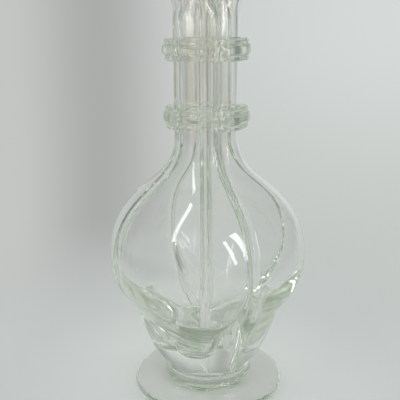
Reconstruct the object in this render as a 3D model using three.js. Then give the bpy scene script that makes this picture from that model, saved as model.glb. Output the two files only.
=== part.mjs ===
// A four-chamber liqueur decanter of clear, faintly green glass. Four blown chambers, each a rounded quarter
// of one bottle with its own neck and spout, stand on a solid stem and a pad foot. Two beaded collars bind
// the necks, and each spout is closed by a glass ball finial on a cork sleeve, which pulls out along its bore.
// Millimetres and degrees, +Z up. The origin is the centre of the foot's underside. The seams between the
// chambers lie on the XZ and YZ planes, and a chamber is modelled in the quarter where x and y are positive.
import * as THREE from "three";

// Fits. The glass pieces of the real bottle are fused hot: a seam is the line that the fusing leaves.
const SEAM = 0.3; // between neighbouring chambers
const COLLAR_SEAM = 0.3; // between a collar and the necks it binds
const CORK_CLEARANCE = 0.3; // between a cork and its bore
const STOPPER_CLEARANCE = 0.3; // between a finial and its cork
const LIP_GAP = 2.5; // between neighbouring lips, which sets how far the spouts lean out

// Foot: a pad whose top rises a little towards the stem, with a shallow hollow under its middle
const FOOT_RADIUS = 50.6;
const FOOT_EDGE = 4.6; // thickness at the rim
const FOOT_RISE = 4.4; // from the rim's top to the stem
const FOOT_RING = 13; // width of the flat ring that it stands on
const FOOT_HOLLOW = 1.2; // depth of the hollow inside that ring
const RIM_ROUNDING = 2.1;

// Stem: the solid drum of glass between the foot and the chambers
const STEM_HEIGHT = 9;
const STEM_STEP = 0.8; // how far it stays inside the chambers' base
const STEM_WAIST = 1.1; // how far its side is drawn in

// Outline of the four chambers together, measured from the decanter's axis
const BASE_RADIUS = 30.4;
const CUP_RISE = 37; // from the chambers' base to the waist
const CUP_SWELL = 0.69; // how far the cup's control point lies from the base's radius to the waist's
const CUP_SWELL_LEVEL = 0.43; // and how far up the cup
const WAIST_RADIUS = 47.3;
const BULB_RISE = 39; // from the waist to the widest level
const WAIST_FLARE = 0.09; // how far out the bulb's lower control point lies, and how far up
const WAIST_FLARE_LEVEL = 0.22;
const BULB_LOWER_TANGENT = 21; // length of the upright tangent below the widest level
const BULB_RADIUS = 64.5;
const SHOULDER_RISE = 78; // from the widest level to the neck
const SHOULDER_TANGENT = 49; // length of the upright tangent at the widest level
const NECK_EASE = 33; // length of the upright tangent at the foot of the neck
const NECK_RADIUS = 20.6;
const NECK_LENGTH = 72; // straight part, up to where the spouts part
const EDGE_ROUNDING = 3.9; // where a chamber's flat wall meets its round wall
const AXIS_ROUNDING = 3.2; // where its two flat walls meet
const CAVITY_ROUNDING = 2.7; // inside, where the flat wall meets the round wall

// Walls
const BULB_WALL = 2.7;
const NECK_WALL = 2.4;
const FLAT_WALL = 2.5;

// Bowl: the cavity narrows to it below the bulb, well inside the waist and the cup
const BULB_TANGENT = 22.5; // length of the upright tangent where the cavity leaves the bulb's wall
const BOWL_TANGENT = 16; // rise and run of the slanting tangent where it meets the bowl
const BOWL_RADIUS = 26; // from the axis to the bowl's brim
const BOWL_DEPTH = 7.5;
const BOWL_FLAT_WALL = 4;
const BOWL_ROUNDING = 7; // where its flat wall meets its round wall
const FLOOR = 15.5; // solid glass under the bowl

// Spouts: each neck turns round, leans out and ends in a fire-polished lip
const BEND_RADIUS = 90; // radius of the bend
const SPOUT_LENGTH = 26; // straight part, up to the lip
const SPOUT_RADIUS = 9.6;
const SPOUT_WALL = 2; // at the lip
const LIP_FLARE = 2.1; // how far the lip stands out
const LIP_HEIGHT = 4;
const BORE_TAPER = 0.033; // change of radius for each millimetre of depth

// Collars: a broad bead between two narrow ones
const COLLAR_THICKNESS = 6.9; // at the broad bead
const COLLAR_BEAD = 6.8; // height of the broad bead
const COLLAR_LIST = 3.2; // height of each narrow bead
const COLLAR_STEP = 1.4; // how far the narrow beads stay behind the broad one
const COLLAR_KEY = 2; // how far the collar sinks into the grooves between the necks
const LOWER_COLLAR_RISE = 13; // its middle above the foot of the neck
const UPPER_COLLAR_DROP = 17.6; // its middle below the top of the neck

// Stoppers
const CORK_DEPTH = 18; // below the lip
const CORK_PROUD = 3.5; // above the lip
const CORK_EDGE = 0.7; // chamfer
const PEG_RADIUS = 3;
const PEG_LENGTH = 14;
const FLANGE_RADIUS = 8.4;
const FLANGE_HEIGHT = 2.4;
const THROAT_RADIUS = 4.6;
const THROAT_HEIGHT = 2.6;
const BALL_RADIUS = 11.5;

// Facets
const CORNER_STEPS = 1; // half of the rounding beside the axis
const FLAT_STEPS = 2;
const EDGE_STEPS = 3;
const ROUND_STEPS = 8;
const SECTION_POINTS = 2 * (CORNER_STEPS + FLAT_STEPS + EDGE_STEPS) + ROUND_STEPS;
const TURNED_STEPS = 40;
const STOPPER_STEPS = 16;

// Levels, from the ground up
const FOOT_TOP = FOOT_EDGE + FOOT_RISE;
const CHAMBER_BASE = FOOT_TOP + STEM_HEIGHT;
const WAIST_LEVEL = CHAMBER_BASE + CUP_RISE;
const WIDEST_LEVEL = WAIST_LEVEL + BULB_RISE;
const NECK_FOOT = WIDEST_LEVEL + SHOULDER_RISE;
const NECK_TOP = NECK_FOOT + NECK_LENGTH;
const BOWL_FLOOR = CHAMBER_BASE + FLOOR;
const BRIM_LEVEL = BOWL_FLOOR + BOWL_DEPTH;

// Radii and distances from the decanter's axis
const STEM_RADIUS = BASE_RADIUS - STEM_STEP;
const COLLAR_RADIUS = NECK_RADIUS + COLLAR_THICKNESS;
const LIP_RADIUS = SPOUT_RADIUS + LIP_FLARE;
const BORE_RADIUS = SPOUT_RADIUS - SPOUT_WALL;
const NECK_CENTRE = ((4 * Math.SQRT2) / (3 * Math.PI)) * NECK_RADIUS; // centroid of a quarter disc
const LIP_CENTRE = Math.SQRT2 * (LIP_RADIUS + LIP_GAP / 2);

// The lean at which the bend and the straight spout together reach from the neck's centre to the lip's
const SPOUT_LEAN =
  Math.acos((BEND_RADIUS - LIP_CENTRE + NECK_CENTRE) / Math.hypot(BEND_RADIUS, SPOUT_LENGTH)) -
  Math.atan2(SPOUT_LENGTH, BEND_RADIUS);

const RADIANS = Math.PI / 180;
const QUARTER = Math.PI / 2;
const DIAGONAL = new THREE.Vector2(Math.SQRT1_2, Math.SQRT1_2);
const point = (x, y) => new THREE.Vector2(x, y);
const mix = THREE.MathUtils.lerp;
const ease = (value, from, to) => THREE.MathUtils.smoothstep(value, from, to);

const glass = (colour, opacity) =>
  new THREE.MeshStandardMaterial({
    color: colour,
    roughness: 0.04,
    metalness: 0,
    transparent: true,
    opacity,
  });
const BLOWN_GLASS = glass(0xdfe6df, 0.35);
const THICK_GLASS = glass(0xcfdccf, 0.45);
const STOPPER_GLASS = glass(0xe2e8e2, 0.45);
const CORK = new THREE.MeshStandardMaterial({
  color: 0xb58a5a,
  roughness: 0.85,
  metalness: 0,
});

// Points on an arc from one angle to another, in radians, leaving out the last one.
function arcPoints(centre, radius, from, to, steps) {
  return Array.from({ length: steps }, (_, i) => {
    const angle = mix(from, to, i / steps);
    return point(centre.x + radius * Math.cos(angle), centre.y + radius * Math.sin(angle));
  });
}

// Points from a to b, leaving out b.
function linePoints(a, b, steps) {
  return Array.from({ length: steps }, (_, i) => a.clone().lerp(b, i / steps));
}

// A rounded quarter disc, counterclockwise from the middle of the rounding beside the axis. Its flat walls
// lie inset from the seam planes, and its round wall lies at radius from the axis.
function quarterSection(radius, inset, axisRounding, edgeRounding) {
  const inner = point(inset + axisRounding, inset + axisRounding);
  const edgeY = inset + edgeRounding;
  const edge = point(Math.sqrt((radius - edgeRounding) ** 2 - edgeY ** 2), edgeY);
  const turn = Math.atan2(edge.y, edge.x);
  const half = [
    ...arcPoints(inner, axisRounding, 2.5 * QUARTER, 3 * QUARTER, CORNER_STEPS),
    ...linePoints(point(inner.x, inset), point(edge.x, inset), FLAT_STEPS),
    ...arcPoints(edge, edgeRounding, 3 * QUARTER, 4 * QUARTER + turn, EDGE_STEPS),
    ...arcPoints(point(0, 0), radius, turn, QUARTER / 2, ROUND_STEPS / 2),
  ];
  const middle = point(radius * DIAGONAL.x, radius * DIAGONAL.y);
  const mirrored = half.slice(1).reverse().map((p) => point(p.y, p.x));
  return [...half, middle, ...mirrored];
}

// A circle with as many points, whose first one also lies on the diagonal towards the axis.
function roundSection(centre, radius) {
  const middle = DIAGONAL.clone().multiplyScalar(centre);
  return arcPoints(middle, radius, 2.5 * QUARTER, 6.5 * QUARTER, SECTION_POINTS);
}

const blended = (a, b, share) => a.map((p, i) => p.clone().lerp(b[i], share));

// Stands a section up in space. It is drawn about a point at centre on the diagonal, and is moved to the
// station's distance and height and leant outwards there.
function standUp(section, centre, { distance, height, lean }) {
  const tangent = point(-DIAGONAL.y, DIAGONAL.x);
  return section.map((p) => {
    const offset = p.clone().addScaledVector(DIAGONAL, -centre);
    const outward = offset.dot(DIAGONAL);
    const flat = DIAGONAL.clone()
      .multiplyScalar(distance + outward * Math.cos(lean))
      .addScaledVector(tangent, offset.dot(tangent));
    return new THREE.Vector3(flat.x, flat.y, height - outward * Math.sin(lean));
  });
}

// A closed skin over rings of equal length: neighbouring rings are joined, and each end ring is closed to
// its own middle. Rings run counterclockwise seen from the last one.
function skin(rings) {
  const count = rings[0].length;
  const points = rings.flat();
  const faces = [];
  rings.slice(1).forEach((_, r) => {
    for (let i = 0; i < count; i += 1) {
      const a = r * count + i;
      const b = r * count + ((i + 1) % count);
      faces.push(a, b, b + count, a, b + count, a + count);
    }
  });
  const close = (ring, offset, first, second) => {
    const middle = ring.reduce((sum, p) => sum.add(p), new THREE.Vector3()).divideScalar(count);
    points.push(middle);
    for (let i = 0; i < count; i += 1) {
      const ends = [offset + i, offset + ((i + 1) % count)];
      faces.push(points.length - 1, ends[first], ends[second]);
    }
  };
  close(rings[0], 0, 1, 0);
  close(rings.at(-1), (rings.length - 1) * count, 0, 1);
  return new THREE.BufferGeometry().setFromPoints(points).setIndex(faces);
}

// A ring around the Z axis whose closed profile may change with the angle: profileAt(angle) gives points
// (radius, height), counterclockwise with the radius to the right and the height up.
function turnedRing(angles, profileAt) {
  const profiles = angles.map((angle) =>
    profileAt(angle).map((p) => new THREE.Vector3(p.x * Math.cos(angle), p.x * Math.sin(angle), p.y)),
  );
  const count = profiles[0].length;
  const faces = [];
  profiles.forEach((_, r) => {
    const next = (r + 1) % profiles.length;
    for (let i = 0; i < count; i += 1) {
      const j = (i + 1) % count;
      const [a, b, c, d] = [r * count + i, next * count + i, next * count + j, r * count + j];
      faces.push(a, b, c, a, c, d);
    }
  });
  return new THREE.BufferGeometry().setFromPoints(profiles.flat()).setIndex(faces);
}

// A solid of revolution about Z from a profile that starts and ends on the axis, bottom to top.
function turned(profile, steps) {
  return new THREE.LatheGeometry(profile, steps).rotateX(QUARTER);
}

// Outline of the chambers: the cup, the bulb and the shoulder, as curves of (radius, height).
const CUP = new THREE.QuadraticBezierCurve(
  point(BASE_RADIUS, CHAMBER_BASE),
  point(mix(BASE_RADIUS, WAIST_RADIUS, CUP_SWELL), CHAMBER_BASE + CUP_SWELL_LEVEL * CUP_RISE),
  point(WAIST_RADIUS, WAIST_LEVEL),
);
const BULB = new THREE.CubicBezierCurve(
  point(WAIST_RADIUS, WAIST_LEVEL),
  point(mix(WAIST_RADIUS, BULB_RADIUS, WAIST_FLARE), WAIST_LEVEL + WAIST_FLARE_LEVEL * BULB_RISE),
  point(BULB_RADIUS, WIDEST_LEVEL - BULB_LOWER_TANGENT),
  point(BULB_RADIUS, WIDEST_LEVEL),
);
const SHOULDER = new THREE.CubicBezierCurve(
  point(BULB_RADIUS, WIDEST_LEVEL),
  point(BULB_RADIUS, WIDEST_LEVEL + SHOULDER_TANGENT),
  point(NECK_RADIUS, NECK_FOOT - NECK_EASE),
  point(NECK_RADIUS, NECK_FOOT),
);

// The cavity's round wall from the widest level down to the bowl's brim.
const BAG = new THREE.CubicBezierCurve(
  point(BULB_RADIUS - BULB_WALL, WIDEST_LEVEL),
  point(BULB_RADIUS - BULB_WALL, WIDEST_LEVEL - BULB_TANGENT),
  point(BOWL_RADIUS + BOWL_TANGENT, BRIM_LEVEL + BOWL_TANGENT),
  point(BOWL_RADIUS, BRIM_LEVEL),
);

// Stations along the bend and the straight part of a spout, as { distance, height, lean }.
function bendStation(share) {
  const lean = share * SPOUT_LEAN;
  return {
    distance: NECK_CENTRE + BEND_RADIUS * (1 - Math.cos(lean)),
    height: NECK_TOP + BEND_RADIUS * Math.sin(lean),
    lean,
  };
}

function spoutStation(belowLip) {
  const start = bendStation(1);
  const along = SPOUT_LENGTH - belowLip;
  return {
    distance: start.distance + along * Math.sin(start.lean),
    height: start.height + along * Math.cos(start.lean),
    lean: start.lean,
  };
}

const upright = (height) => ({ distance: 0, height, lean: 0 });

// Radii of a spout and its bore. Where the spouts part, each is still too near its neighbours to have its
// full radius.
const bendRadius = (station) => Math.min(SPOUT_RADIUS, station.distance * Math.SQRT1_2 - SEAM / 2);
const boreRadius = (belowLip) => BORE_RADIUS - BORE_TAPER * belowLip;
const bendBoreRadius = (station) => Math.min(boreRadius(SPOUT_LENGTH), bendRadius(station) - NECK_WALL);

// A ring of the bend at a share of its length, where a quarter section turns into a round one.
function bendRing(quarter, share, radiusAt) {
  const station = bendStation(share);
  const round = roundSection(NECK_CENTRE, radiusAt(station));
  return standUp(blended(quarter, round, ease(share, 0, 1)), NECK_CENTRE, station);
}

// A round ring of the straight spout.
const spoutRing = ([radius, belowLip]) =>
  standUp(roundSection(NECK_CENTRE, radius), NECK_CENTRE, spoutStation(belowLip));

// The outer skin of one chamber, from its base to the top of its lip.
function outerRings() {
  const body = (radius, height) =>
    standUp(quarterSection(radius, SEAM / 2, AXIS_ROUNDING, EDGE_ROUNDING), 0, upright(height));
  const outline = [
    ...CUP.getPoints(4).slice(0, -1),
    ...BULB.getPoints(6).slice(0, -1),
    ...SHOULDER.getPoints(8),
    point(NECK_RADIUS, NECK_TOP),
  ];
  const neck = quarterSection(NECK_RADIUS, SEAM / 2, AXIS_ROUNDING, EDGE_ROUNDING);
  const lip = [
    [SPOUT_RADIUS, 2 * LIP_HEIGHT],
    [mix(SPOUT_RADIUS, LIP_RADIUS, 0.35), LIP_HEIGHT],
    [LIP_RADIUS, LIP_HEIGHT / 2],
    [LIP_RADIUS, LIP_HEIGHT / 6],
    [mix(SPOUT_RADIUS, LIP_RADIUS, 0.6), 0],
  ];
  return [
    ...outline.map((p) => body(p.x, p.y)),
    ...[0.33, 0.67, 1].map((share) => bendRing(neck, share, bendRadius)),
    ...lip.map(spoutRing),
  ];
}

// The cavity's section in the neck and the shoulder: a quarter inside the flat walls.
const cavitySection = (radius) =>
  quarterSection(radius, SEAM / 2 + FLAT_WALL, AXIS_ROUNDING, CAVITY_ROUNDING);

// A ring of the cavity under the shoulder, inside a point of the outline by the wall's thickness.
function shoulderRing(share) {
  const outside = SHOULDER.getPoint(share);
  const upwards = SHOULDER.getTangent(share);
  const wall = mix(BULB_WALL, NECK_WALL, ease(outside.y, WIDEST_LEVEL, NECK_FOOT));
  const radius = outside.x - wall * upwards.y;
  const height = outside.y + wall * upwards.x;
  return standUp(cavitySection(radius), 0, upright(height));
}

// The cavity's section at a share of the bag, where the flat walls grow thicker and the edges rounder.
function bagSection(share) {
  const closed = ease(share, 0, 0.8);
  return quarterSection(
    BAG.getPoint(share).x,
    SEAM / 2 + mix(FLAT_WALL, BOWL_FLAT_WALL, closed),
    AXIS_ROUNDING,
    mix(CAVITY_ROUNDING, BOWL_ROUNDING, closed),
  );
}

// A ring of the bowl: the brim's section drawn in to its middle, deeper as an ellipse is.
function bowlRing(angle) {
  const brim = bagSection(1);
  const middle = brim.reduce((sum, p) => sum.add(p), point(0, 0)).divideScalar(brim.length);
  const section = brim.map((p) => middle.clone().lerp(p, Math.cos(angle)));
  return standUp(section, 0, upright(BRIM_LEVEL - BOWL_DEPTH * Math.sin(angle)));
}

// Evenly spaced shares of a curve from one share to another, both included.
const shares = (from, to, steps) =>
  Array.from({ length: steps + 1 }, (_, i) => mix(from, to, i / steps));

// The cavity of one chamber, from the top of its lip down to the floor of its bowl.
function innerRings() {
  const mouth = [
    [mix(BORE_RADIUS, LIP_RADIUS, 0.3), 0],
    [mix(BORE_RADIUS, LIP_RADIUS, 0.1), LIP_HEIGHT / 4],
    [boreRadius(LIP_HEIGHT / 2), LIP_HEIGHT / 2],
    [boreRadius(CORK_DEPTH), CORK_DEPTH],
  ];
  const neck = cavitySection(NECK_RADIUS - NECK_WALL);
  return [
    ...mouth.map(spoutRing),
    ...[1, 0.6, 0.3].map((share) => bendRing(neck, share, bendBoreRadius)),
    standUp(neck, 0, upright(NECK_TOP)),
    ...shares(1, 0, 7).map(shoulderRing),
    ...shares(1 / 7, 1, 6).map((share) => standUp(bagSection(share), 0, upright(BAG.getPoint(share).y))),
    ...[30, 55, 80].map((degrees) => bowlRing(degrees * RADIANS)),
  ];
}

const chamberGeometry = () => skin([...outerRings(), ...innerRings()]);

// The foot: flat ring, rounded rim, a top that rises to the stem, and a shallow hollow underneath.
function footGeometry() {
  const rim = [0, 0.5, 1].map((share) => {
    const angle = mix(-1, 0, share) * QUARTER;
    return point(
      FOOT_RADIUS - RIM_ROUNDING * (1 - Math.cos(angle)),
      RIM_ROUNDING * (1 + Math.sin(angle)),
    );
  });
  const top = new THREE.CubicBezierCurve(
    point(FOOT_RADIUS, FOOT_EDGE - RIM_ROUNDING),
    point(FOOT_RADIUS, FOOT_EDGE + 0.2 * RIM_ROUNDING),
    point(mix(FOOT_RADIUS, STEM_RADIUS, 0.55), FOOT_EDGE),
    point(STEM_RADIUS, FOOT_TOP),
  );
  return turned(
    [
      point(0, FOOT_HOLLOW),
      point(0.6 * (FOOT_RADIUS - RIM_ROUNDING - FOOT_RING), 0.8 * FOOT_HOLLOW),
      point(FOOT_RADIUS - RIM_ROUNDING - FOOT_RING, 0),
      ...rim,
      ...top.getPoints(5),
      point(0, FOOT_TOP),
    ],
    TURNED_STEPS,
  );
}

// The stem: a short drum, drawn in at the middle, that the foot and the chambers are fused to.
function stemGeometry() {
  const side = new THREE.QuadraticBezierCurve(
    point(STEM_RADIUS, FOOT_TOP),
    point(STEM_RADIUS - 2 * STEM_WAIST, FOOT_TOP + STEM_HEIGHT / 2),
    point(STEM_RADIUS, CHAMBER_BASE),
  );
  return turned([point(0, FOOT_TOP), ...side.getPoints(4), point(0, CHAMBER_BASE)], TURNED_STEPS);
}

// Distance from the axis to the necks' outer surface, at an angle from the nearest seam. The grooves
// between the necks are followed down to COLLAR_KEY.
function neckSurface(angle) {
  const centreDistance = NECK_RADIUS - EDGE_ROUNDING;
  const centreAngle = Math.asin((SEAM / 2 + EDGE_ROUNDING) / centreDistance);
  const off = Math.max(0, centreAngle - angle);
  const sideways = Math.min(centreDistance * Math.sin(off), EDGE_ROUNDING);
  const surface = centreDistance * Math.cos(off) + Math.sqrt(EDGE_ROUNDING ** 2 - sideways ** 2);
  return Math.max(surface, NECK_RADIUS - COLLAR_KEY);
}

// A collar with its middle at height 0: two narrow beads beside a broad one, keyed into the grooves.
function collarGeometry() {
  const half = COLLAR_BEAD / 2 + COLLAR_LIST;
  const narrow = COLLAR_RADIUS - COLLAR_STEP;
  const groove = narrow - 0.35 * COLLAR_STEP;
  const beadSide = (sign) =>
    [
      [narrow - 0.8 * COLLAR_STEP, half],
      [narrow, half - 0.3 * COLLAR_LIST],
      [narrow, half - 0.7 * COLLAR_LIST],
      [groove, COLLAR_BEAD / 2],
      [mix(groove, COLLAR_RADIUS, 0.75), 0.28 * COLLAR_BEAD],
    ].map(([radius, height]) => point(radius, sign * height));
  const outside = [...beadSide(-1), point(COLLAR_RADIUS, 0), ...beadSide(1).reverse()];
  const fromSeam = [0, 5, 10, 20, 32].map((degrees) => degrees * RADIANS);
  const quarterAngles = [
    ...fromSeam,
    QUARTER / 2,
    ...fromSeam.slice(1).reverse().map((angle) => QUARTER - angle),
  ];
  const angles = [0, 1, 2, 3].flatMap((turn) => quarterAngles.map((angle) => turn * QUARTER + angle));
  return turnedRing(angles, (angle) => {
    const inQuarter = angle % QUARTER;
    const bore = neckSurface(Math.min(inQuarter, QUARTER - inQuarter)) + COLLAR_SEAM;
    return [point(bore, -half), ...outside, point(bore, half)];
  });
}

// A cork sleeve, with height 0 at the lip: tapered as the bore is, chamfered, and bored for the peg.
function corkGeometry() {
  const side = (belowLip) => boreRadius(belowLip) - CORK_CLEARANCE;
  const profile = [
    point(PEG_RADIUS + STOPPER_CLEARANCE, -CORK_DEPTH),
    point(side(CORK_DEPTH) - CORK_EDGE, -CORK_DEPTH),
    point(side(CORK_DEPTH), -CORK_DEPTH + CORK_EDGE),
    point(side(0), 0),
    point(side(0), CORK_PROUD - CORK_EDGE),
    point(side(0) - CORK_EDGE, CORK_PROUD),
    point(PEG_RADIUS + STOPPER_CLEARANCE, CORK_PROUD),
  ];
  const angles = Array.from({ length: STOPPER_STEPS }, (_, i) => (i / STOPPER_STEPS) * 4 * QUARTER);
  return turnedRing(angles, () => profile);
}

// A finial, with height 0 at the lip: the peg inside the cork, the flange on it, a throat and the ball.
function finialGeometry() {
  const seat = CORK_PROUD + STOPPER_CLEARANCE;
  const throatTop = seat + FLANGE_HEIGHT + THROAT_HEIGHT;
  const start = Math.asin(THROAT_RADIUS / BALL_RADIUS);
  const ballMiddle = throatTop + BALL_RADIUS * Math.cos(start);
  const ball = Array.from({ length: 8 }, (_, i) => {
    const angle = mix(start, 2 * QUARTER, i / 8);
    return point(BALL_RADIUS * Math.sin(angle), ballMiddle - BALL_RADIUS * Math.cos(angle));
  });
  return turned(
    [
      point(0, seat - PEG_LENGTH),
      point(PEG_RADIUS - 0.5, seat - PEG_LENGTH),
      point(PEG_RADIUS, seat - PEG_LENGTH + 1),
      point(PEG_RADIUS, seat),
      point(FLANGE_RADIUS - 0.6, seat),
      point(FLANGE_RADIUS, seat + FLANGE_HEIGHT / 2),
      point(FLANGE_RADIUS - 0.9, seat + 0.9 * FLANGE_HEIGHT),
      point(THROAT_RADIUS, seat + FLANGE_HEIGHT + 0.4 * THROAT_HEIGHT),
      ...ball,
      point(0, ballMiddle + BALL_RADIUS),
    ],
    STOPPER_STEPS,
  );
}

function piece(name, geometry, material) {
  const mesh = new THREE.Mesh(geometry, material);
  mesh.name = name;
  return mesh;
}

// Each chamber's quarter, as the number of quarter turns about Z from the one where x and y are positive.
const PLACES = { back_right: 0, back_left: 1, front_left: 2, front_right: 3 };

const decanter = new THREE.Group();
decanter.add(piece("foot", footGeometry(), THICK_GLASS));
decanter.add(piece("stem", stemGeometry(), THICK_GLASS));

const lip = spoutStation(0);
for (const [place, turns] of Object.entries(PLACES)) {
  const quarter = new THREE.Group();
  quarter.rotation.z = turns * QUARTER;
  quarter.add(piece(`chamber_${place}`, chamberGeometry(), BLOWN_GLASS));

  const stopper = new THREE.Group();
  stopper.position.set(lip.distance * DIAGONAL.x, lip.distance * DIAGONAL.y, lip.height);
  stopper.quaternion.setFromAxisAngle(new THREE.Vector3(-DIAGONAL.y, DIAGONAL.x, 0), lip.lean);
  stopper.add(piece(`cork_${place}`, corkGeometry(), CORK));
  stopper.add(piece(`finial_${place}`, finialGeometry(), STOPPER_GLASS));
  quarter.add(stopper);
  decanter.add(quarter);
}

const lowerCollar = piece("lower_collar", collarGeometry(), THICK_GLASS);
lowerCollar.position.z = NECK_FOOT + LOWER_COLLAR_RISE;
const upperCollar = piece("upper_collar", collarGeometry(), THICK_GLASS);
upperCollar.position.z = NECK_TOP - UPPER_COLLAR_DROP;
decanter.add(lowerCollar, upperCollar);

export default decanter;
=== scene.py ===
"""Dresses the four-chamber decanter: blown glass, collars, stoppers on corks and a pale studio.

Lengths are metres, +Z is up, and the origin is the centre of the foot's underside. The seams between the
chambers lie on the XZ and YZ planes. A chamber is worked out in the quarter where x and y are positive and
is then turned into its own quarter, and so is its stopper.
"""
import math
from functools import partial

import bpy
import numpy as np
from bpy.props import FloatProperty, FloatVectorProperty, PointerProperty
from bpy.types import Operator, Panel, PropertyGroup
from mathutils import Matrix, Vector


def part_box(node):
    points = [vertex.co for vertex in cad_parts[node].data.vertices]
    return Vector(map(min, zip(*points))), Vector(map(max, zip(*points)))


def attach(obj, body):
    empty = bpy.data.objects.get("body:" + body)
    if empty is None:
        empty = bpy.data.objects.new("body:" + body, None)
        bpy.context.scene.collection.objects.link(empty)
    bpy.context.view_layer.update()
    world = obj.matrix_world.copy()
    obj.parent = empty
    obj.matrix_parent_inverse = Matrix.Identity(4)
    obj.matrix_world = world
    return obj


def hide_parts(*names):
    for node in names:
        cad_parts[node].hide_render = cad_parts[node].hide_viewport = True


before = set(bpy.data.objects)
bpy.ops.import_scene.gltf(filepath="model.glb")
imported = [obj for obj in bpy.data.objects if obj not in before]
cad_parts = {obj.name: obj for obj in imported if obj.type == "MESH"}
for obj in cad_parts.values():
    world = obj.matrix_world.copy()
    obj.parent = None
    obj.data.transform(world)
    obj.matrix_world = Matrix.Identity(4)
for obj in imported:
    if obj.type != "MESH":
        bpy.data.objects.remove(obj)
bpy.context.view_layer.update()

bl_info = {
    "name": "Four-chamber decanter",
    "version": (1, 0, 0),
    "blender": (4, 5, 0),
    "location": "3D View > Sidebar > Decanter",
    "description": "Builds a blown-glass decanter of four chambers with its stoppers and a pale studio",
    "category": "Object",
}

PLACES = {"back_right": 0, "back_left": 1, "front_left": 2, "front_right": 3}  # quarter turns
ROOT = "decanter"
MM = 0.001
HAIR = 0.005 * MM
QUARTER = math.pi / 2
DIAGONAL = np.array([math.sqrt(0.5), math.sqrt(0.5)])


def length(description, millimetres):
    """A length that a user sees in the scene's units."""
    return partial(FloatProperty, description=description, default=millimetres * MM, min=0.0, unit="LENGTH",
                   precision=4)


def share(description, value):
    """A number from 0 to 1."""
    return partial(FloatProperty, description=description, default=value, min=0.0, max=1.0)


def amount(description, value, unit="NONE"):
    """A number that isn't negative."""
    return partial(FloatProperty, description=description, default=value, min=0.0, unit=unit)


def angle(description, degrees):
    """An angle, which Blender shows in degrees and keeps in radians."""
    return partial(FloatProperty, description=description, default=math.radians(degrees), subtype="ANGLE")


def tint(description, colour):
    """A colour."""
    return partial(FloatVectorProperty, description=description, default=colour, subtype="COLOR", size=3,
                   min=0.0, max=1.0)


def named(group):
    """Makes the properties of a group, each with the words of its field as its name."""
    for field, make in group.__annotations__.items():
        group.__annotations__[field] = make(name=field.replace("_", " ").capitalize())
    return group


@named
class BodySizes(PropertyGroup):
    """Outline of the four chambers together."""

    base_radius: length("Radius of the chambers where they stand on the stem", 30.4)
    waist_radius: length("Radius at the top of the cup", 47.3)
    bulb_radius: length("Largest radius", 64.5)
    neck_radius: length("Radius of the cluster of necks", 20.6)
    cup_rise: length("Height from the base to the waist", 37)
    cup_swell: share("Place of the cup's control point from the base's radius to the waist's", 0.69)
    cup_swell_level: share("How far up the cup that point lies", 0.43)
    bulb_rise: length("Height from the waist to the widest level", 39)
    waist_flare: share("How far out the bulb's lower control point lies", 0.09)
    waist_flare_level: share("How far up the bulb that point lies", 0.22)
    bulb_tangent: length("Upright tangent below the widest level", 21)
    shoulder_rise: length("Height from the widest level to the neck", 78)
    shoulder_tangent: length("Upright tangent above the widest level", 49)
    neck_ease: length("Upright tangent at the foot of the neck", 33)
    neck_length: length("Straight part of the necks", 72)
    edge_rounding: length("Where a chamber's flat wall meets its round wall", 3.9)
    axis_rounding: length("Where its two flat walls meet", 3.2)
    seam: length("Between neighbouring chambers", 0.3)
    closed_rounding: length("Where the flat walls meet, in the solid base", 0.1)
    closed_rise: length("From the cavities' floor to the full rounding", 14)


@named
class CavitySizes(PropertyGroup):
    """The walls, and the bowl that each cavity ends in."""

    bulb_wall: length("Thickness of the bulb's round wall", 2.7)
    neck_wall: length("Thickness of the neck's round wall", 2.4)
    flat_wall: length("Thickness of a chamber's flat walls", 2.5)
    rounding: length("Inside, where the flat wall meets the round wall", 2.2)
    upper_tangent: length("Upright tangent where the cavity leaves the bulb's wall", 17.5)
    bowl_run: length("Level reach of the slanting tangent where it meets the bowl", 11)
    bowl_rise: length("Height of that tangent", 18)
    bowl_radius: length("From the axis to the bowl's brim", 26)
    bowl_depth: length("From the brim to the floor", 6)
    bowl_flat_wall: length("Thickness of the flat walls at the bowl", 4)
    bowl_rounding: length("Where the bowl's flat wall meets its round wall", 7)
    floor: length("Solid glass under the bowl", 15)


@named
class SpoutSizes(PropertyGroup):
    """The leaning spouts above the cluster."""

    bend_radius: length("Radius of the bend", 90)
    straight: length("From the bend to the lip", 26)
    radius: length("Outer radius of a spout", 9.6)
    wall: length("Wall at the lip", 2)
    lip_flare: length("How far the lip stands out", 2.1)
    lip_height: length("Height of the lip's bead", 4)
    lip_gap: length("Between neighbouring lips", 2.5)
    taper: share("Loss of the bore's radius for each length of depth", 0.033)


@named
class FootSizes(PropertyGroup):
    """The pad foot and the stem."""

    edge: length("Thickness at the rim", 4.6)
    rounding: length("Of the rim", 2.1)
    ring: length("Width of the flat ring that it stands on", 13)
    hollow: length("Depth of the hollow inside that ring", 1.2)
    stem_waist: length("How far the stem's side is drawn in", 1.1)
    groove: length("Depth of the groove between the stem and the chambers", 0.8)
    tool_mark: length("Depth of the upright tool marks round the stem's foot", 0.3)


@named
class CollarSizes(PropertyGroup):
    """The two collars, each a broad bead between two narrow ones."""

    step: length("How far the narrow beads stay behind the broad one", 1.4)
    groove: length("Depth of the grooves between the beads", 0.5)
    bead: share("Height of the broad bead in the collar's", 0.5)
    key: length("How far the collar sinks into the grooves between the necks", 2)
    seam: length("Between a collar and the necks", 0.3)
    unevenness: length("How far the hand-tooled beads waver", 0.22)


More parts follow.
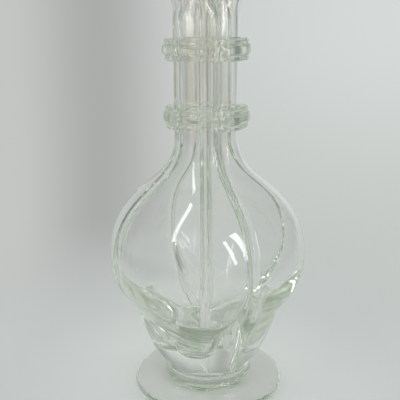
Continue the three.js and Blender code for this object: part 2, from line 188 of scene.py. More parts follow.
@named
class StopperSizes(PropertyGroup):
    """A glass ball on a throat, a flange and a peg, in a cork sleeve."""

    cork_depth: length("Below the lip", 18)
    cork_proud: length("Above the lip", 3.5)
    cork_edge: length("Rounding of the cork's ends", 0.7)
    cork_clearance: length("Between a cork and its bore", 0.3)
    clearance: length("Between a finial and its cork", 0.3)
    peg_radius: length("Radius of the peg in the cork", 3)
    peg_length: length("Length of that peg", 14)
    flange_radius: length("Radius of the flange on the cork", 8.4)
    flange_height: length("Height of that flange", 2.4)
    throat_radius: length("Radius between flange and ball", 4.6)
    throat_height: length("Height of that throat", 2.6)
    ball_radius: length("Radius of the ball", 11.42)


@named
class GlassLook(PropertyGroup):
    """Clear glass, faintly green and a little wavy, with a trace of old liqueur in the necks."""

    refractive_index: amount("Refractive index", 1.5)
    body_colour: tint("Colour that thick glass shows", (0.60, 0.75, 0.50))
    density: amount("Absorption for each metre of glass", 3.6)
    collar_density: amount("Absorption for each metre of the collars' glass", 14)
    stem_density: amount("Absorption for each metre of the stem's glass", 5)
    waviness: length("Height of the slow waves in the surface", 0.06)
    striation: length("Height of the fine drawn lines on the necks", 0.03)
    residue: tint("Colour of the dried film in the necks", (0.92, 0.875, 0.79))
    seed: tint("Colour of the specks in the glass", (0.42, 0.44, 0.38))


@named
class CorkLook(PropertyGroup):
    """Natural cork."""

    light: tint("Colour of the cork's grain", (0.56, 0.37, 0.20))
    dark: tint("Colour between the grains", (0.40, 0.25, 0.13))
    pore: tint("Colour of the pores", (0.13, 0.07, 0.035))
    relief: length("Depth of the pores", 0.25)


@named
class StudioSettings(PropertyGroup):
    """Camera, light and backdrop."""

    azimuth: angle("Camera's place around the decanter", -26)
    distance: length("Camera to the decanter's axis, level", 408)
    height: length("Camera above the floor", 245.5)
    pitch: angle("Camera's tilt down", 15.84)
    yaw: angle("Camera's turn to its left", 0.66)
    roll: angle("Camera's roll", -0.5)
    lens: amount("Focal length", 58.2, "CAMERA")
    backdrop_right: tint("Backdrop on the camera's right", (0.56, 0.585, 0.56))
    backdrop_top: tint("Backdrop high up on that side", (0.67, 0.70, 0.69))
    backdrop_left: tint("Backdrop on the camera's left", (0.545, 0.565, 0.545))
    backdrop_shade: tint("Soft shade left of the decanter", (0.37, 0.38, 0.37))
    room: tint("Room above and behind the camera", (0.62, 0.64, 0.62))
    ceiling: tint("Room high above the backdrop", (0.34, 0.36, 0.34))
    left_side: tint("Room on the camera's left, level with the necks", (0.46, 0.48, 0.46))
    left_low: tint("Darker room below that, level with the bulb", (0.22, 0.24, 0.22))
    right_side: tint("Darker room on the camera's right", (0.25, 0.27, 0.245))
    floor_colour: tint("Colour of the floor", (0.72, 0.74, 0.725))
    # Painted pool of light on the floor round the foot, standing in for the light that the glass gathers
    # there, and where it fades out
    floor_light_pool: tint("Its colour round the foot, where the glass gathers light", (0.80, 0.82, 0.805))
    light_pool_start: length("Where that colour starts to fade", 50)
    light_pool_end: length("Where that colour ends", 150)
    fade_start: length("Where the floor starts to pass into the backdrop", 90)
    fade_end: length("Where the floor has the backdrop's colour", 420)
    fill_colour: tint("Colour of the light from all round", (0.98, 1.0, 1.0))
    fill: amount("Strength of the light from all round", 0.62)


def sizes(group):
    """One of the property groups, as it is set in the scene."""
    return getattr(bpy.context.scene, group)


# Curves and sections


def bezier(points, at):
    """Points of a Bezier curve: the sum of each control point times its Bernstein polynomial."""
    points = np.asarray(points, float)
    at = np.atleast_1d(at)[:, None]
    degree = len(points) - 1
    weights = [math.comb(degree, k) * at**k * (1 - at) ** (degree - k) for k in range(degree + 1)]
    return sum(w * p for w, p in zip(weights, points))


def smoothstep(value, low, high):
    """3t squared minus 2t cubed, with t going from 0 at low to 1 at high."""
    t = np.clip((value - low) / (high - low), 0, 1)
    return t * t * (3 - 2 * t)


def mix(a, b, part):
    """a plus the part of the way to b."""
    return a + (b - a) * part


def spread(count, start=0, stop=1):
    """count values from start to stop."""
    return np.linspace(start, stop, count)


def steps(count, start=0, stop=1):
    """count values from start to stop, leaving out start."""
    return np.linspace(start, stop, count + 1)[1:]


def around(count):
    """Angles of count equal steps round a circle."""
    return 2 * math.pi * np.arange(count) / count


# Grid steps on each stretch of half a section, and rings on each stretch of a chamber
CORNER, FLAT, EDGE, ROUND = 5, 10, 12, 24
AROUND = 2 * (CORNER + FLAT + EDGE + ROUND)
RINGS = {"cup": 24, "bulb": 40, "shoulder": 64, "neck": 40, "bend": 16, "spout": 18, "bead": 11, "rim": 7,
         "mouth": 8, "bore": 15, "bag": 60, "bowl": 26}


def quarter_sections(radius, inset, axis_rounding, edge_rounding):
    """Rounded quarter discs, one for each radius, as an array (rings, points, 2).

    A section starts in the middle of the rounding beside the axis, runs along the flat wall that lies inset
    from the seam, turns through the edge's rounding and follows the arc of its radius to the diagonal. The
    other half is its mirror image. The inset and the roundings are one number, or one for each ring.
    """
    radius = np.asarray(radius, float)[:, None]
    rings = len(radius)
    inset, axis_rounding, edge_rounding = (np.broadcast_to(np.asarray(v, float), (rings,))[:, None]
                                           for v in (inset, axis_rounding, edge_rounding))

    def arc(x, y, r, start, stop, count):
        turn = start + (stop - start) * np.arange(count) / count
        return np.stack([x + r * np.cos(turn), y + r * np.sin(turn)], -1)

    middle = inset + axis_rounding
    edge_y = inset + edge_rounding
    edge_x = np.sqrt((radius - edge_rounding) ** 2 - edge_y**2)
    edge_turn = np.arctan2(edge_y, edge_x)
    corner = arc(middle, middle, axis_rounding, 2.5 * QUARTER, 3 * QUARTER, CORNER)
    along = np.arange(FLAT) / FLAT
    flat = np.stack([middle + (edge_x - middle) * along, np.broadcast_to(inset, (rings, FLAT))], -1)
    edge = arc(edge_x, edge_y, edge_rounding, 3 * QUARTER, 4 * QUARTER + edge_turn, EDGE)
    round_wall = arc(0, 0, radius, edge_turn, 0.5 * QUARTER, ROUND)
    half = np.concatenate([corner, flat, edge, round_wall], 1)
    tip = radius[:, :, None] * DIAGONAL
    return np.concatenate([half, tip, half[:, :0:-1, ::-1]], 1)


def round_sections(centre, radius):
    """Circles about a point on the diagonal, starting on the side of the axis, as (rings, points, 2)."""
    radius = np.asarray(radius, float)[:, None]
    turn = 2.5 * QUARTER + around(AROUND)
    return np.stack([centre * DIAGONAL[0] + radius * np.cos(turn),
                     centre * DIAGONAL[1] + radius * np.sin(turn)], -1)


def stand_up(sections, centre=0, distance=0, height=0, lean=0):
    """Stands sections up in space.

    A section is drawn about a point at centre on the diagonal. Its offset from there along the diagonal is
    turned down by the lean, and the point itself goes to its distance from the axis and its height.
    """
    distance, height, lean = (np.broadcast_to(np.asarray(v, float), (len(sections),))[:, None]
                              for v in (distance, height, lean))
    tangent = np.array([-DIAGONAL[1], DIAGONAL[0]])
    offset = sections - centre * DIAGONAL
    outward = offset @ DIAGONAL
    along = distance + outward * np.cos(lean)
    level = along[..., None] * DIAGONAL + (offset @ tangent)[..., None] * tangent
    return np.concatenate([level, (height - outward * np.sin(lean))[..., None]], -1)


class Chamber:
    """The surfaces of one chamber, worked out from the sizes."""

    def __init__(self):
        s = self.body = sizes("body_sizes")
        self.cavity = sizes("cavity_sizes")
        p = self.spout = sizes("spout_sizes")
        self.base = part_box("chamber_back_right")[0][2]
        self.waist = self.base + s.cup_rise
        self.widest = self.waist + s.bulb_rise
        self.neck_foot = self.widest + s.shoulder_rise
        self.neck_top = self.neck_foot + s.neck_length
        self.cup = [(s.base_radius, self.base),
                    (mix(s.base_radius, s.waist_radius, s.cup_swell),
                     self.base + s.cup_swell_level * s.cup_rise),
                    (s.waist_radius, self.waist)]
        self.bulb = [(s.waist_radius, self.waist),
                     (mix(s.waist_radius, s.bulb_radius, s.waist_flare),
                      self.waist + s.waist_flare_level * s.bulb_rise),
                     (s.bulb_radius, self.widest - s.bulb_tangent), (s.bulb_radius, self.widest)]
        self.shoulder = [(s.bulb_radius, self.widest), (s.bulb_radius, self.widest + s.shoulder_tangent),
                         (s.neck_radius, self.neck_foot - s.neck_ease), (s.neck_radius, self.neck_foot)]
        self.neck_centre = 4 * math.sqrt(2) / (3 * math.pi) * s.neck_radius
        self.lip_radius = p.radius + p.lip_flare
        lip_centre = math.sqrt(2) * (self.lip_radius + p.lip_gap / 2)
        self.lean = (math.acos((p.bend_radius - lip_centre + self.neck_centre)
                               / math.hypot(p.bend_radius, p.straight))
                     - math.atan2(p.straight, p.bend_radius))

    def bend(self, part):
        """Distance, height and lean at a part of the bend: a circle of its radius about a level axis."""
        lean = np.asarray(part) * self.lean
        return (self.neck_centre + self.spout.bend_radius * (1 - np.cos(lean)),
                self.neck_top + self.spout.bend_radius * np.sin(lean), lean)

    def straight(self, below_lip):
        """Distance, height and lean on the straight spout: from the bend's end along its lean."""
        distance, height, lean = self.bend(1.0)
        along = self.spout.straight - np.asarray(below_lip)
        return distance + along * np.sin(lean), height + along * np.cos(lean), lean

    def bore_at(self, below_lip):
        """Radius of the bore: its radius at the lip less the taper times the depth."""
        return self.spout.radius - self.spout.wall - self.spout.taper * np.asarray(below_lip)

    def quarter_rings(self, radius, height, inset, rounding, axis_rounding=None):
        """Upright rings of a rounded quarter, for arrays of radius and height."""
        axis_rounding = self.body.axis_rounding if axis_rounding is None else axis_rounding
        return stand_up(quarter_sections(radius, inset, axis_rounding, rounding), height=height)

    def bend_rings(self, radius, inset, rounding, part, largest, wall=0):
        """Rings of the bend, where a quarter section turns into a round one by a smoothstep of the part.

        The round one is the largest that leaves room for the neighbours and for the wall.
        """
        distance, height, lean = self.bend(part)
        quarter = quarter_sections(np.full(len(part), radius), inset, self.body.axis_rounding, rounding)
        circle = round_sections(self.neck_centre, np.minimum(largest, self.free_radius(distance) - wall))
        blend = smoothstep(part, 0, 1)[:, None, None]
        return stand_up(mix(quarter, circle, blend), self.neck_centre, distance, height, lean)

    def spout_rings(self, radius, below_lip):
        """Round rings of the straight spout."""
        distance, height, lean = self.straight(below_lip)
        return stand_up(round_sections(self.neck_centre, radius), self.neck_centre, distance, height, lean)

    def free_radius(self, distance):
        """Half the gap between a spout's centre and its neighbours', less half a seam."""
        return distance * math.sqrt(0.5) - self.body.seam / 2

    def axis_rounding(self, height):
        """Rounding beside the axis: small in the solid base, and growing by a smoothstep above it."""
        s = self.body
        floor = self.base + self.cavity.floor
        return mix(s.closed_rounding, s.axis_rounding, smoothstep(height, floor, floor + s.closed_rise))

    def sole(self, radius):
        """The ring where the skin starts, drawn in to a radius."""
        s = self.body
        return self.quarter_rings([radius], self.base, s.seam / 2, s.edge_rounding, s.closed_rounding)

    def lip_profile(self):
        """Radius and depth round the lip's bead: a cubic to its middle and a quadratic over its top."""
        p = self.spout
        bead_foot, under_bead, over_bead = 1.9 * p.lip_height, 1.1 * p.lip_height, 1.15 * p.lip_height
        middle = (self.lip_radius, 0.5 * p.lip_height)
        lower = bezier([(p.radius, bead_foot), (p.radius, under_bead), (self.lip_radius, over_bead), middle],
                       steps(RINGS["bead"]))
        upper = bezier([middle, (self.lip_radius, 0.1 * p.lip_height),
                        (mix(p.radius, self.lip_radius, 0.6), 0)], steps(RINGS["rim"]))
        return bead_foot, np.concatenate([lower, upper])

    def outside(self):
        """The outer skin from the base to the top of the lip, with rings along the outline's curves."""
        s, p = self.body, self.spout
        count = RINGS["neck"]
        neck = np.stack([np.full(count, s.neck_radius), steps(count, self.neck_foot, self.neck_top)], 1)
        outline = np.concatenate([bezier(self.cup, spread(RINGS["cup"])[:-1]),
                                  bezier(self.bulb, spread(RINGS["bulb"])[:-1]),
                                  bezier(self.shoulder, spread(RINGS["shoulder"])), neck])
        body = self.quarter_rings(*outline.T, s.seam / 2, s.edge_rounding, self.axis_rounding(outline[:, 1]))
        bend = self.bend_rings(s.neck_radius, s.seam / 2, s.edge_rounding, steps(RINGS["bend"]), p.radius)
        start = min(p.radius, self.free_radius(self.bend(1.0)[0]))
        part = steps(RINGS["spout"])
        bead_foot, lip = self.lip_profile()
        straight = self.spout_rings(mix(start, p.radius, smoothstep(part, 0, 1)),
                                    mix(p.straight, bead_foot, part))
        return np.concatenate([body, bend, straight, self.spout_rings(*lip.T)])

    def shoulder_rings(self, at):
        """Rings of the cavity under the shoulder: the outline moved in along its normal by the wall."""
        s, c = self.body, self.cavity
        outer = bezier(self.shoulder, at)
        apart = 1e-3
        ahead = bezier(self.shoulder, np.clip(at + apart, 0, 1))
        ahead -= bezier(self.shoulder, np.clip(at - apart, 0, 1))
        ahead /= np.linalg.norm(ahead, axis=1, keepdims=True)
        wall = mix(c.bulb_wall, c.neck_wall, smoothstep(outer[:, 1], self.widest, self.neck_foot))
        return self.quarter_rings(outer[:, 0] - wall * ahead[:, 1], outer[:, 1] + wall * ahead[:, 0],
                                  s.seam / 2 + c.flat_wall, c.rounding)

    def bag_rings(self, at):
        """Rings from the widest level down to the bowl's brim, along a cubic of radius and height.

        The cubic leaves the bulb's wall upright and meets the brim on a slant. The flat walls thicken and
        the edges grow rounder by a smoothstep of the share of it, over its first four fifths.
        """
        s, c = self.body, self.cavity
        brim = self.base + c.floor + c.bowl_depth
        wide = s.bulb_radius - c.bulb_wall
        profile = bezier([(wide, self.widest), (wide, self.widest - c.upper_tangent),
                          (c.bowl_radius + c.bowl_run, brim + c.bowl_rise), (c.bowl_radius, brim)], at)
        closed = smoothstep(at, 0, 0.8)
        return self.quarter_rings(*profile.T, s.seam / 2 + mix(c.flat_wall, c.bowl_flat_wall, closed),
                                  mix(c.rounding, c.bowl_rounding, closed))

    def inside(self):
        """The cavity from the top of the lip down to the floor of the bowl.

        The bowl is the brim drawn in to its middle by a cosine while its level falls by a sine, as an
        ellipse.
        """
        s, c, p = self.body, self.cavity, self.spout
        tip = 0.5 * p.lip_height
        rim = mix(self.bore_at(0), self.lip_radius, 0.3)
        mouth = bezier([(rim, 0), (self.bore_at(0), 0), (self.bore_at(tip), tip)], spread(RINGS["mouth"]))
        depth = steps(RINGS["bore"], tip, p.straight)
        bore = np.stack([self.bore_at(depth), depth], 1)
        inner_neck = s.neck_radius - c.neck_wall
        inset = s.seam / 2 + c.flat_wall
        bend = self.bend_rings(inner_neck, inset, c.rounding, steps(RINGS["bend"], 1, 0),
                               self.bore_at(p.straight), c.neck_wall)
        count = RINGS["neck"]
        neck = self.quarter_rings(np.full(count, inner_neck), steps(count, self.neck_top, self.neck_foot),
                                  inset, c.rounding)
        bag = self.bag_rings(steps(RINGS["bag"]))
        brim = bag[-1]
        middle = brim.mean(0)
        turn = spread(RINGS["bowl"], 0, QUARTER)[1:-1, None, None]
        bowl = middle + (brim - middle) * np.cos(turn) - np.array([0, 0, c.bowl_depth]) * np.sin(turn)
        return np.concatenate([self.spout_rings(*np.concatenate([mouth, bore]).T), bend, neck,
                               self.shoulder_rings(steps(RINGS["shoulder"] - 1, 1, 0)), bag, bowl])

    def stopper_place(self, turns):
        """Matrix that stands a stopper, drawn with its lip level at height 0, in the bore of its quarter."""
        distance, height, lean = self.straight(0.0)
        outward = Matrix.Rotation(lean, 4, Vector((-DIAGONAL[1], DIAGONAL[0], 0)))
        at = Matrix.Translation((distance * DIAGONAL[0], distance * DIAGONAL[1], height))
        return Matrix.Rotation(turns * QUARTER, 4, "Z") @ at @ outward


# Meshes


def grid_mesh(rings, poles=True, closed=False):
    """Points and faces over rings: quads between neighbours, and a fan to each end's middle."""
    rings = np.asarray(rings, float)
    count, width = rings.shape[:2]
    index = np.arange(count * width).reshape(count, width)
    low, high = (index, np.roll(index, -1, 0)) if closed else (index[:-1], index[1:])
    faces = [np.stack([low, np.roll(low, -1, 1), np.roll(high, -1, 1), high], -1).reshape(-1, 4)]
    points = rings.reshape(-1, 3)
    if poles:
        first, last = len(points), len(points) + 1
        points = np.vstack([points, rings[0].mean(0), rings[-1].mean(0)])
        faces.append(np.stack([np.full(width, first), np.roll(index[0], -1), index[0]], 1))
        faces.append(np.stack([np.full(width, last), index[-1], np.roll(index[-1], -1)], 1))
    return points, faces


def turned_rings(radius, height, turn):
    """Rings about Z: x is the radius times the cosine of the turn, y is it times the sine."""
    radius, height, turn = np.broadcast_arrays(radius, height, turn)
    return np.stack([radius * np.cos(turn), radius * np.sin(turn), height], -1)


def turned_mesh(profile, count=160):
    """Turns a profile of radius and height about Z.

    A profile that starts and ends on the axis is closed there by fans; any other one is closed on itself.
    """
    profile = np.asarray(profile, float)
    on_axis = profile[0, 0] < HAIR
    inner = profile[1:-1] if on_axis else profile
    points, faces = grid_mesh(turned_rings(inner[:, :1], inner[:, 1:], around(count)), on_axis, not on_axis)
    if on_axis:
        points[-2:, 2] = profile[[0, -1], 1]
    return points, faces


def add_object(name, data):
    """An object in the scene that shows data."""
    made = bpy.data.objects.new(name, data)
    bpy.context.scene.collection.objects.link(made)
    return made


def make_piece(name, mesh_data, body, node, material, marks=None, place=None):
    """Makes a mesh object that stands for a node.

    marks gives, for a name, a function from the faces' centres to a number for each face, such as fused,
    which is 1 where a face lies against the same glass of another piece. place is a matrix that the mesh is
    moved by. Edges where the surface turns by more than 40 degrees stay sharp.
    """
    points, face_groups = mesh_data
    mesh = bpy.data.meshes.new(name)
    corners = np.concatenate([g.ravel() for g in face_groups]).astype(np.int32)
    sides = np.concatenate([np.full(len(g), g.shape[1]) for g in face_groups]).astype(np.int32)
    mesh.vertices.add(len(points))
    mesh.vertices.foreach_set("co", np.ascontiguousarray(points, np.float32).ravel())
    mesh.loops.add(len(corners))
    mesh.loops.foreach_set("vertex_index", corners)
    mesh.polygons.add(len(sides))
    mesh.polygons.foreach_set("loop_start", np.concatenate([[0], np.cumsum(sides)[:-1]]).astype(np.int32))
    mesh.update(calc_edges=True)
    mesh.polygons.foreach_set("use_smooth", np.ones(len(sides), bool))
    mesh.set_sharp_from_angle(angle=math.radians(40))
    centres = np.empty(3 * len(sides), np.float32)
    mesh.polygons.foreach_get("center", centres)
    for mark_name, value_at in (marks or {}).items():
        values = np.asarray(value_at(*centres.reshape(-1, 3).T), np.float32)
        mesh.attributes.new(mark_name, "FLOAT", "FACE").data.foreach_set("value", values)
    mesh.validate()
    if place:
        mesh.transform(place)
    mesh.materials.append(material)
    piece = add_object(name, mesh)
    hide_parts(node)
    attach(piece, body)
    return piece


# Materials


class Shader:
    """A node socket. Its operators add Math nodes, with numbers or other sockets on either side."""

    def __init__(self, tree, socket):
        self.tree = tree
        self.socket = socket

    @classmethod
    def node(cls, tree, kind, output=0, settings=None, **inputs):
        """Adds a node, sets its settings, then gives its sockets values or links.

        A socket is named by a keyword, with _ for a space, or by its number after an i.
        """
        made = tree.nodes.new("ShaderNode" + kind)
        for key, value in (settings or {}).items():
            setattr(made, key, value)
        for key, value in inputs.items():
            numbered = key[0] == "i" and key[1:].isdigit()
            socket = made.inputs[int(key[1:]) if numbered else key.replace("_", " ")]
            if isinstance(value, Shader):
                tree.links.new(value.socket, socket)
            else:
                socket.default_value = value
        return cls(tree, made.outputs[output])

    def sibling(self, output):
        """Another output of the same node."""
        return Shader(self.tree, self.socket.node.outputs[output])

    def math(self, operation, *others):
        operands = {f"i{number}": value for number, value in enumerate((self, *others))}
        return Shader.node(self.tree, "Math", settings={"operation": operation}, **operands)

    def __add__(self, other):
        return self.math("ADD", other)

    def __sub__(self, other):
        return self.math("SUBTRACT", other)

    def __mul__(self, other):
        return self.math("MULTIPLY", other)

    def __rsub__(self, other):
        return Shader.node(self.tree, "Math", settings={"operation": "SUBTRACT"}, i0=other,
                           i1=self)

    __radd__ = __add__
    __rmul__ = __mul__

    def ramp(self, low, high):
        """0 below low and 1 above high, with a smooth rise between them."""
        return Shader.node(self.tree, "MapRange", settings={"interpolation_type": "SMOOTHSTEP"},
                           Value=self, From_Min=low, From_Max=high)

    def into(self, socket):
        self.tree.links.new(self.socket, socket)


def vector_math(operation, first, second=(0, 0, 0)):
    """A Vector Math node; its Value output where the operation gives a number."""
    output = "Value" if operation in ("LENGTH", "DOT_PRODUCT") else "Vector"
    return Shader.node(first.tree, "VectorMath", output=output, settings={"operation": operation},
                       i0=first, i1=second)


def mixed_colour(factor, first, second):
    """Two colours mixed by a factor."""
    first, second = (c if isinstance(c, Shader) else (*c, 1) for c in (first, second))
    return Shader.node(factor.tree, "Mix", output=2, settings={"data_type": "RGBA"}, i0=factor, i6=first,
                       i7=second)


def object_place(tree):
    """The place on the object, in metres."""
    return Shader.node(tree, "TexCoord", output="Object")


def light_path(tree, ray):
    """1 for one kind of ray."""
    return Shader.node(tree, "LightPath", output=f"Is {ray} Ray")


def mark(tree, name):
    """A number that the mesh's faces carry under a name, or 0 where there is none."""
    return Shader.node(tree, "Attribute", output="Fac", settings={"attribute_name": name})


def bump(height):
    """A normal bent by a height in metres."""
    return Shader.node(height.tree, "Bump", Strength=1.0, Distance=1.0, Height=height)


def noise(place, scale, upright, detail):
    """Noise over places in metres: cells for each metre, the stretch of the upright axis, and detail."""
    stretched = vector_math("MULTIPLY", place, (1, 1, upright))
    return Shader.node(place.tree, "TexNoise", output="Fac", Vector=stretched, Scale=scale,
                       Detail=detail)


def new_material(name, **values):
    """A material, its node tree and its Principled shader, with values for the shader's sockets."""
    material = bpy.data.materials.new(name)
    material.use_nodes = True
    shader = material.node_tree.nodes["Principled BSDF"]
    for key, value in values.items():
        shader.inputs[key.replace("_", " ")].default_value = value
    return material, material.node_tree, shader


def glass_material(name, density=None):
    """Clear glass, of the body's density unless another is given.

    Faces that lie against other glass let light straight through, as a fused joint does. Slow waves and, on
    the necks, fine drawn lines bend what is seen through it. The necks keep a faint brown film in upright
    streaks, and specks are strewn thinly over the body. The hollow under the foot is a little rough.
    """
    look = sizes("glass_look")
    line_levels, film_levels = (0.150, 0.185), (0.120, 0.200)
    seed_cells, seed_size, seedless = 75, 0.022, 0.74
    ground_roughness, let_through = 0.03, 0.94
    material, tree, shader = new_material(name, IOR=look.refractive_index, Transmission_Weight=1.0)
    place = object_place(tree)
    level = Shader.node(tree, "SeparateXYZ", output="Z", Vector=place)
    on_necks = level.ramp(*line_levels)
    waves = noise(place, scale=45, upright=0.6, detail=1) * look.waviness
    lines = noise(place, scale=900, upright=0.02, detail=1) * on_necks * look.striation
    bump(waves + lines).into(shader.inputs["Normal"])

    streaks = noise(place, scale=420, upright=0.03, detail=2).ramp(low=0.50, high=0.62)
    film = streaks * level.ramp(*film_levels) * mark(tree, "inside")
    cell = Shader.node(tree, "TexVoronoi", output="Distance", Vector=place, Scale=seed_cells)
    near = cell.math("LESS_THAN", seed_size)
    chosen = cell.sibling("Color").math("GREATER_THAN", seedless)
    filmed = mixed_colour(film, (1, 1, 1), look.residue)
    mixed_colour(near * chosen, filmed, look.seed).into(shader.inputs["Base Color"])

    (mark(tree, "ground") * ground_roughness).into(shader.inputs["Roughness"])
    unfused = 1 - mark(tree, "fused")
    (unfused * (1 - let_through * light_path(tree, "Shadow"))).into(shader.inputs["Alpha"])
    volume = Shader.node(tree, "VolumeAbsorption", Color=(*look.body_colour, 1),
                         Density=density or look.density)
    volume.into(tree.nodes["Material Output"].inputs["Volume"])
    return material


def cork_material(name):
    """Natural cork: mottled grain with dark pores that run across it."""
    look = sizes("cork_look")
    speckle_depth, pore_depth, speckle_relief = 0.45, 0.85, 0.3
    material, tree, shader = new_material(name, Roughness=0.85)
    place = object_place(tree)
    grain = noise(place, scale=420, upright=1.6, detail=5)
    speckle = noise(place, scale=2600, upright=1, detail=3)
    pores = noise(place, scale=620, upright=2.6, detail=2).ramp(low=0.60, high=0.66)
    colour = mixed_colour(grain.ramp(low=0.35, high=0.65), look.dark, look.light)
    colour = mixed_colour(speckle.ramp(low=0.55, high=0.75) * speckle_depth, colour, look.dark)
    mixed_colour(pores * pore_depth, colour, look.pore).into(shader.inputs["Base Color"])
    height = (1 - pores) * look.relief + speckle * (speckle_relief * look.relief)
    bump(height).into(shader.inputs["Normal"])
    return material


def material_for(name, make, *values):
    """The material of a name, made on first use."""
    return bpy.data.materials.get(name) or make(name, *values)


# Operators


class DECANTER_OT_base(Operator):
    """Build the foot and the stem"""

    bl_idname = "decanter.base"
    bl_label = "Foot and stem"

    def execute(self, context):
        s = sizes("foot_sizes")
        self.foot(s)
        self.stem(s)
        return {"FINISHED"}

    @staticmethod
    def foot(s):
        """From the axis out under the hollow and the flat ring, round the rim and in over the domed top."""
        radius, _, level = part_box("foot")[1]
        stem_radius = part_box("stem")[1][0]
        hollow = radius - s.rounding - s.ring
        under = bezier([(0, s.hollow), (0.55 * hollow, s.hollow), (0.8 * hollow, 0.3 * s.hollow),
                        (hollow, 0)], spread(24))
        turn = spread(12, -QUARTER, 0)
        rim = np.stack([radius - s.rounding * (1 - np.cos(turn)), s.rounding * (1 + np.sin(turn))], 1)
        top = bezier([(radius, s.edge - s.rounding), (radius, s.edge + 0.2 * s.rounding),
                      (mix(radius, stem_radius, 0.55), s.edge), (stem_radius, level)], steps(47))
        marks = {"fused": lambda x, y, z: (z > level - HAIR) & (np.hypot(x, y) < stem_radius),
                 "ground": lambda x, y, z: (z < s.hollow + HAIR) & (np.hypot(x, y) < 0.7 * hollow)}
        make_piece("pad_foot", turned_mesh(np.concatenate([under, rim, top, [(0, level)]])), ROOT, "foot",
                   material_for("Blown glass", glass_material), marks)

    @staticmethod
    def stem(s):
        """A side drawn in at its middle, and a lip drawn in to the groove under the chambers.

        Tool marks take off their depth times a cosine of the turn, uneven by a slow sine. They fade in and
        out over the lower part by a squared sine.
        """
        tool_marks, marked = 56, 0.4
        low, (radius, _, high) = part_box("foot")[1][2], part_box("stem")[1]
        lip_foot, lip_edge, neck = high - 2 * s.groove, high - 0.7 * s.groove, radius - s.groove
        waist = (radius - 2.4 * s.stem_waist, mix(low, high, 0.5))
        side = bezier([(radius, low), waist, (radius, lip_foot)], spread(24))
        lip = bezier([(radius, lip_foot), (radius, lip_edge), (neck, lip_edge), (neck, high)], steps(12))
        radii, height = np.concatenate([side, lip]).T[:, :, None]
        turn = around(8 * tool_marks)
        share_up = np.clip((height - low) / (marked * (high - low)), 0, 1)
        depth = s.tool_mark * np.sin(math.pi * share_up) ** 2
        depth = depth * (0.5 + 0.5 * np.cos(tool_marks * turn)) * (0.6 + 0.4 * np.sin(3 * turn + 1))
        glass = material_for("Stem glass", glass_material, sizes("glass_look").stem_density)
        make_piece("solid_stem", grid_mesh(turned_rings(radii - depth, height, turn)), ROOT, "stem", glass,
                   {"fused": lambda x, y, z: (z > high - HAIR) | (z < low + HAIR)})


class DECANTER_OT_chambers(Operator):
    """Build the four blown chambers"""

    bl_idname = "decanter.chambers"
    bl_label = "Chambers"

    def execute(self, context):
        chamber = Chamber()
        s = chamber.body
        stem_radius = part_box("stem")[1][0] - sizes("foot_sizes").groove
        rings = np.concatenate([chamber.sole(stem_radius), chamber.outside(), chamber.inside()])
        levels = [(low[2], high[2]) for low, high in (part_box("lower_collar"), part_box("upper_collar"))]

        def fused(x, y, z):
            radius = np.hypot(x, y)
            flat = (np.minimum(x, y) < s.seam / 2 + HAIR) & (z < chamber.neck_top) & (z > chamber.base)
            stood_on = (z < chamber.base + HAIR) & (radius < stem_radius)
            bound = sum((z > low) & (z < high) for low, high in levels) * (radius > s.neck_radius - 2 * MM)
            return np.clip(flat | stood_on | (bound > 0), 0, 1)

        def inside(x, y, z):
            in_neck = np.hypot(x, y) < s.neck_radius - 1.5 * MM
            return in_neck & (np.minimum(x, y) > s.seam / 2 + 2 * MM)

        glass = material_for("Blown glass", glass_material)
        for place, turns in PLACES.items():
            make_piece(f"blown_{place}", grid_mesh(rings), ROOT, f"chamber_{place}", glass,
                       {"fused": fused, "inside": inside}, Matrix.Rotation(turns * QUARTER, 4, "Z"))
        return {"FINISHED"}


